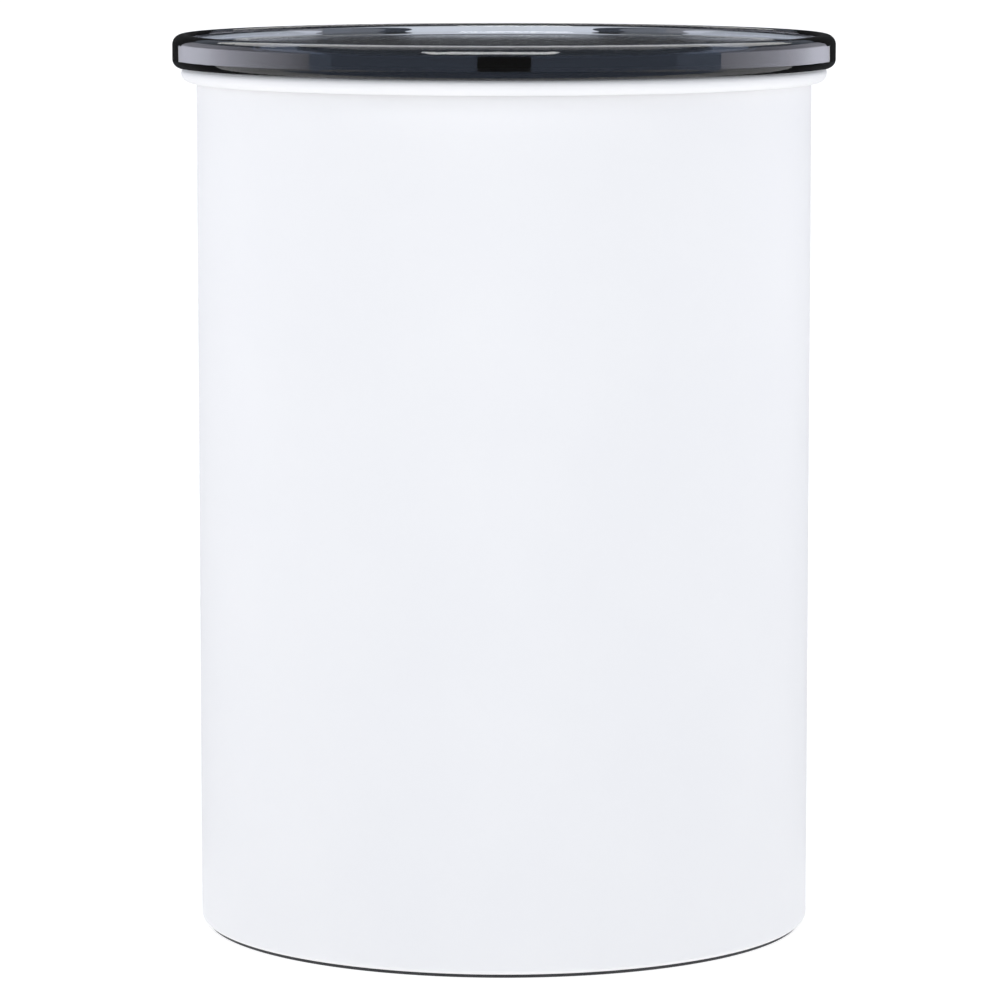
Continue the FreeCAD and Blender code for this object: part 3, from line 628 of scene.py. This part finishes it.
# Floor, backdrop and camera
FLOOR_SIDE = 2.9
FLOOR_BACK = 8.0
FLOOR_GREY = (0.35, 0.35, 0.35, 1)
MATT = 0.9
WORLD_LIGHT = 0.35
WORLD_TINT = (0.88, 0.98, 1.16, 1)
BACKDROP_LIGHT = 1.05
CAMERA_PLACE = (-0.0008, -1.0493, 0.2147)
CAMERA_PITCH = 7.06
CAMERA_LENS = 189.75
SENSOR_WIDTH = 36
LID_MIDDLE = Vector((0, 0, (lid_low.z + lid_high.z) / 2))

# Lamps and cards
SIDES = ((-1, "left"), (1, "right"))
CARD_BLACK = (0.01, 0.01, 0.01, 1)
CEILING = 1.3
STRIP_HEIGHT = 0.08
STRIP_WIDTH = 0.16
SIDE_PLACE = 0.6
SIDE_FRONT = {"left": -0.26, "right": -0.155}
SIDE_BACK = 1.08
SIDE_LOW = 0.11
SIDE_HIGH = 0.5
SIDE_FALL_PER_METRE = 0.22
SIDE_DIM_LOW = 0.2
SIDE_DIM_HIGH = 0.26
SIDE_DIM_SHARE = 0.4
SIDE_TINT = (0.95, 0.96, 1.1, 1)
FRONT_PLACE = -1.7
FRONT_SIDE = 3.0
FRONT_HIGH = 0.35
FRONT_TINT = (0.84, 1.0, 1.35, 1)
LOW_LAYER = 0.001
MIDDLE_LAYER = 0.002
TOP_LAYER = 0.003
LANE_NEAR = 0.3
LANE_FAR = 2.5
LANE_NEAR_WIDTH = 0.013
LANE_FAR_WIDTH = 0.079


def level(places, height):
    """Corners of a level card over places on the floor."""
    return [(x, y, height) for x, y in places]


def level_box(left, right, near, far, height):
    """Corners of a level rectangle."""
    return level([(left, near), (right, near), (right, far), (left, far)], height)


def wall(start, end, low, high):
    """Corners of an upright card over the line between two places on the floor."""
    return [(*start, low), (*end, low), (*end, high), (*start, high)]


def glow_from(tree, middle, near, far, inner, outer):
    """Strength of a glow that goes from inner to outer with the distance from a point."""
    reach = tree.nodes.new("ShaderNodeVectorMath")
    reach.operation = "DISTANCE"
    reach.inputs[1].default_value = middle
    tree.links.new(own_place(tree), reach.inputs[0])
    return remap(tree, reach.outputs["Value"], near, far, inner, outer, smooth=True)


def make_floor():
    """Pale floor, lit enough to run into the white backdrop, with its glow dimmed round the can: painted
    shade under the base, added to the real contact shadow.
    """
    corners = level_box(-FLOOR_SIDE, FLOOR_SIDE, -FLOOR_SIDE, FLOOR_BACK, 0)
    material, tree, shader = new_material("studio_floor")
    shader.inputs["Base Color"].default_value = FLOOR_GREY
    shader.inputs["Roughness"].default_value = MATT
    shader.inputs["Emission Color"].default_value = WHITE
    # Painted shade: the floor glows less close to the can, least within 0.1 m of its axis.
    glow = glow_from(tree, (0, 0, 0), near=0.1, far=0.7, inner=0.76, outer=0.97)
    tree.links.new(glow, shader.inputs["Emission Strength"])
    new_piece("studio_floor", corners, [[0, 1, 2, 3]], material)


def make_world():
    """White backdrop for the camera, and softer light from all round for the object."""
    world = bpy.data.worlds.new("studio_world")
    world.use_nodes = True
    tree = world.node_tree
    glow = tree.nodes["Background"]
    glow.inputs["Color"].default_value = WORLD_TINT
    glow.inputs["Strength"].default_value = WORLD_LIGHT
    backdrop = tree.nodes.new("ShaderNodeBackground")
    backdrop.inputs["Color"].default_value = WHITE
    backdrop.inputs["Strength"].default_value = BACKDROP_LIGHT
    path = tree.nodes.new("ShaderNodeLightPath")
    mix = tree.nodes.new("ShaderNodeMixShader")
    tree.links.new(path.outputs["Is Camera Ray"], mix.inputs["Fac"])
    tree.links.new(glow.outputs["Background"], mix.inputs[1])
    tree.links.new(backdrop.outputs["Background"], mix.inputs[2])
    tree.links.new(mix.outputs["Shader"], tree.nodes["World Output"].inputs["Surface"])
    bpy.context.scene.world = world


def softbox(name, place, target, width, height, radiance):
    """A rectangular lamp that faces the target, lights matt surfaces and shows in no gloss."""
    data = bpy.data.lights.new(name, "AREA")
    data.shape = "RECTANGLE"
    data.size = width
    data.size_y = height
    data.energy = radiance * math.pi * width * height
    lamp = bpy.data.objects.new(name, data)
    lamp.location = place
    lamp.rotation_euler = (Vector(target) - Vector(place)).to_track_quat("-Z", "Y").to_euler()
    lamp.visible_camera = False
    lamp.visible_glossy = False
    lamp.visible_transmission = False
    bpy.context.scene.collection.objects.link(lamp)


def card(name, corners, radiance=0.0, clear=True, tint=WHITE):
    """A black or shining card that shows only in gloss, and where clear, through the smoke plastic."""
    material, tree, shader = new_material(name)
    shader.inputs["Base Color"].default_value = CARD_BLACK
    shader.inputs["Roughness"].default_value = MATT
    shader.inputs["Emission Color"].default_value = tint
    shader.inputs["Emission Strength"].default_value = radiance
    piece = new_piece(name, corners, [[0, 1, 2, 3]], material)
    piece.visible_camera = False
    piece.visible_diffuse = False
    piece.visible_shadow = False
    piece.visible_transmission = clear
    return tree, shader


def side_card(side, name, first, radiance, soft):
    """A card beside the lid: brighter over soft from its front end, dimmer towards its back and its top."""
    front, x = SIDE_FRONT[name], side * SIDE_PLACE
    corners = wall((x, front), (x, SIDE_BACK), SIDE_LOW, SIDE_HIGH)
    tree, shader = card(f"{name}_card", corners, clear=False, tint=SIDE_TINT)
    _, y, z = split(tree, own_place(tree))
    fall = calculate(tree, "POWER", SIDE_FALL_PER_METRE, y)
    rise = remap(tree, y, front, front + soft, first, radiance)
    dim = remap(tree, z, SIDE_DIM_LOW, SIDE_DIM_HIGH, 1, SIDE_DIM_SHARE)
    glow = calculate(tree, "MULTIPLY", calculate(tree, "MULTIPLY", fall, rise), dim)
    tree.links.new(glow, shader.inputs["Emission Strength"])


def floor_card(name, inner, outer, radiance=0.0):
    """A card on the floor behind, from one multiple to another of a width that grows with distance."""
    places = [
        (inner * LANE_NEAR_WIDTH, LANE_NEAR),
        (outer * LANE_NEAR_WIDTH, LANE_NEAR),
        (outer * LANE_FAR_WIDTH, LANE_FAR),
        (inner * LANE_FAR_WIDTH, LANE_FAR),
    ]
    card(name, level(places, MIDDLE_LAYER), radiance)


def make_lamps():
    """Soft boxes over, before and beside the can."""
    softbox("key_box", (-0.08, -0.64, 0.94), LID_MIDDLE, width=0.7, height=0.2, radiance=3.0)
    softbox("top_box", (0, 0.1, CEILING), LID_MIDDLE, width=1.0, height=0.8, radiance=2.5)
    softbox("front_box", (0, -1.6, 0.27), (0, 0, 0.1), width=1.4, height=0.5, radiance=1.31)
    strips = (("strip", 0.0775, 0.281, 2.7), ("back_strip", 0.65, 0.864, 0.84))
    for side, name in SIDES:
        for part, y, length, radiance in strips:
            place = (side * SIDE_PLACE, y, STRIP_HEIGHT)
            softbox(f"{name}_{part}", place, (0, y, STRIP_HEIGHT), length, STRIP_WIDTH, radiance)
        softbox(f"{name}_fill", (side * 0.9, -1.0, 0.5), (0, 0, 0.13), width=0.8, height=0.7, radiance=0.8)


def make_upper_cards():
    """Cards overhead, and upright ones before and behind, for the lid's edge and panel."""
    key = [(-0.43, -0.66, 0.9), (0.27, -0.66, 0.9), (0.27, -0.91, 0.52), (-0.43, -0.91, 0.52)]
    card("key_card", key, radiance=10.5, clear=False)
    card("top_card", level_box(-0.8, 0.8, -0.3, 0.4, CEILING), radiance=1.3, clear=False)
    card("rear_card", level_box(-1.3, 1.3, 0.4, 1.6, CEILING), radiance=2.8, clear=False)
    for side, name in SIDES:
        card(f"{name}_flag", wall((side * 0.04, 1), (side * 0.55, 1), 0.1, 0.6))
    card("back_flag", wall((-0.6, 0.9), (0.6, 0.9), 0.185, 0.55))
    card("front_flag", wall((-0.2, -1.3), (0.2, -1.3), 0.05, 0.3), radiance=0.12)


def make_mats():
    """Cards on the floor, which the lid's edge and its far wall mirror, and a dark soft spot right behind
    the can, seen through the lid: a painted shadow.
    """
    for side, name in SIDES:
        floor_card(f"{name}_dark_mat", side * 1.08, side * 1.4)
        floor_card(f"{name}_grey_mat", side * 1.4, side * 2.2, radiance=0.25)
        places = [(side * 0.09, 0.044), (side * 2.7, 1.3), (side * 0.2, 3), (side * 0.007, 0.1)]
        card(f"{name}_side_mat", level(places, LOW_LAYER), clear=False)
    floor_card("middle_mat", -1.08, 1.08, radiance=1.6)
    places = [(-0.9, -1.6), (0.9, -1.6), (0.5, -0.07), (-0.5, -0.07)]
    card("front_mat", level(places, LOW_LAYER), radiance=0.5, clear=False, tint=FRONT_TINT)
    # Painted shadow: a card on the floor right behind the can, dark at its middle, that shows only through
    # the smoke plastic.
    tree, shader = card("painted_shadow_mat", level_box(-0.1, 0.1, 0.1, 0.3, TOP_LAYER))
    glow = glow_from(tree, (0, 0.2, TOP_LAYER), near=0.03, far=0.1, inner=0, outer=1.1)
    tree.links.new(glow, shader.inputs["Emission Strength"])


def make_side_cards():
    """Shining cards beside the lid, with blue-grey ones in front that join them."""
    side_card(*SIDES[0], first=1.0, radiance=5.8, soft=0.6)
    side_card(*SIDES[1], first=1.9, radiance=6.2, soft=0.655)
    front = wall((-FRONT_SIDE, FRONT_PLACE), (FRONT_SIDE, FRONT_PLACE), MIDDLE_LAYER, FRONT_HIGH)
    card("front_card", front, radiance=0.75, clear=False, tint=FRONT_TINT)
    for side, name in SIDES:
        far, near = (side * FRONT_SIDE, FRONT_PLACE), (side * SIDE_PLACE, SIDE_FRONT[name])
        wing = wall(far, near, MIDDLE_LAYER, FRONT_HIGH)
        card(f"{name}_wing", wing, radiance=1, clear=False, tint=FRONT_TINT)


def make_camera():
    """Camera that was fitted to the photo."""
    data = bpy.data.cameras.new("photo_camera")
    data.lens = CAMERA_LENS
    data.sensor_width = SENSOR_WIDTH
    camera = bpy.data.objects.new("photo_camera", data)
    camera.location = CAMERA_PLACE
    camera.rotation_euler = (math.radians(90 - CAMERA_PITCH), 0, 0)
    bpy.context.scene.collection.objects.link(camera)
    bpy.context.scene.camera = camera


make_floor()
make_world()
make_lamps()
make_upper_cards()
make_mats()
make_side_cards()
make_camera()
bpy.context.scene.view_settings.view_transform = "Standard"
